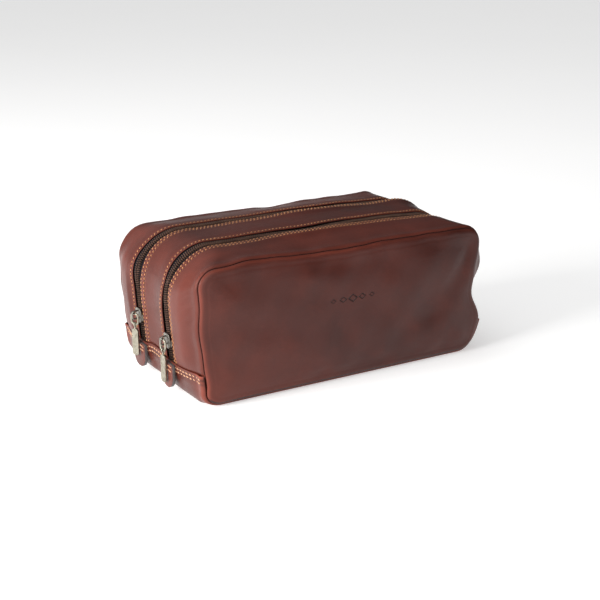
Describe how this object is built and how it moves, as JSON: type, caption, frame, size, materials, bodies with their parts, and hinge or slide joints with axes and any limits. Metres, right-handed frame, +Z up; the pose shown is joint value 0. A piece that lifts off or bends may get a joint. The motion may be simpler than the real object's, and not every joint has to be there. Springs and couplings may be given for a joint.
{
  "type": "shaving kit bag",
  "caption": "Soft boxy leather wash bag with zipped compartments side by side; each zip runs up one end, over the top and down the other, with a ring pull and leather end tabs.",
  "frame": {"origin": "middle of the flat underside of the base", "axes": "+X along the length towards the end without sliders, -Y is the front wall, +Z up"},
  "size_m": [0.2653, 0.152, 0.109],
  "materials": {
    "leather": "smooth satin leather, reddish brown",
    "lining": "dark woven lining",
    "board": "fibre stiffener board",
    "binding": "woven binding tape",
    "zip_tape": "woven zip tape",
    "zip_coil": "spiral zip coil",
    "metal": "pale antique plated"
  },
  "bodies": {
    "bag": {"base_gusset": "leather", "base_board": "board", "base_lining": "lining", "base_seam_bindings": "binding", "front_panel_foot": "leather", "back_panel_foot": "leather", "front_strip_foot": "leather", "back_strip_foot": "leather", "front_lining_foot": "lining", "back_lining_foot": "lining", "middle_strip": "leather", "middle_strip_lining": "lining", "divider_board": "board", "divider_front_lining": "lining", "divider_rear_lining": "lining", "front_zip_rear_tape": "zip_tape", "front_zip_rear_coil": "zip_coil", "rear_zip_front_tape": "zip_tape", "rear_zip_front_coil": "zip_coil", "front_zip_tape_feet": "zip_tape", "front_zip_coil_feet": "zip_coil", "rear_zip_tape_feet": "zip_tape", "rear_zip_coil_feet": "zip_coil", "front_left_end_tab": "leather", "rear_left_end_tab": "leather", "front_right_end_tab": "leather", "rear_right_end_tab": "leather"},
    "front_leaf": {"front_panel": "leather", "front_strip": "leather", "front_panel_lining": "lining", "front_strip_lining": "lining", "front_zip_front_tape": "zip_tape", "front_zip_front_coil": "zip_coil", "front_seam_binding": "binding"},
    "rear_leaf": {"back_panel": "leather", "back_strip": "leather", "back_panel_lining": "lining", "back_strip_lining": "lining", "rear_zip_rear_tape": "zip_tape", "rear_zip_rear_coil": "zip_coil", "back_seam_binding": "binding"},
    "front_slider": {"front_slider_body": "metal", "front_slider_bridge": "metal"},
    "front_ring": {"front_pull_ring": "metal"},
    "front_tab": {"front_pull_tab": "metal"},
    "rear_slider": {"rear_slider_body": "metal", "rear_slider_bridge": "metal"},
    "rear_ring": {"rear_pull_ring": "metal"},
    "rear_tab": {"rear_pull_tab": "metal"}
  },
  "joints": [
    {"name": "front_mouth", "type": "hinge", "parent": "bag", "child": "front_leaf", "pos_m": [0, -0.076, 0.054], "axis": [1, 0, 0], "range_deg": [0, 30]},
    {"name": "front_slider_travel", "type": "slide", "parent": "bag", "child": "front_slider", "axis": [-0.0804, 0, 0.9968], "range_m": [-0.003, 0.0095]},
    {"name": "front_ring_swing", "type": "hinge", "parent": "front_slider", "child": "front_ring", "pos_m": [-0.13221, -0.025, 0.04219], "axis": [-0.1045, 0.9945, 0], "range_deg": [0, 120]},
    {"name": "front_tab_swing", "type": "hinge", "parent": "front_ring", "child": "front_tab", "pos_m": [-0.13221, -0.025, 0.03379], "axis": [-0.1045, 0.9945, 0], "range_deg": [0, 60]},
    {"name": "rear_mouth", "type": "hinge", "parent": "bag", "child": "rear_leaf", "pos_m": [0, 0.076, 0.054], "axis": [-1, 0, 0], "range_deg": [0, 30]},
    {"name": "rear_slider_travel", "type": "slide", "parent": "bag", "child": "rear_slider", "axis": [-0.0804, 0, 0.9968], "range_m": [-0.003, 0.0095]},
    {"name": "rear_ring_swing", "type": "hinge", "parent": "rear_slider", "child": "rear_ring", "pos_m": [-0.13262, 0.025, 0.04719], "axis": [-0.4067, 0.9135, 0], "range_deg": [0, 120]},
    {"name": "rear_tab_swing", "type": "hinge", "parent": "rear_ring", "child": "rear_tab", "pos_m": [-0.13262, 0.025, 0.03879], "axis": [-0.4067, 0.9135, 0], "range_deg": [0, 60]}
  ]
}
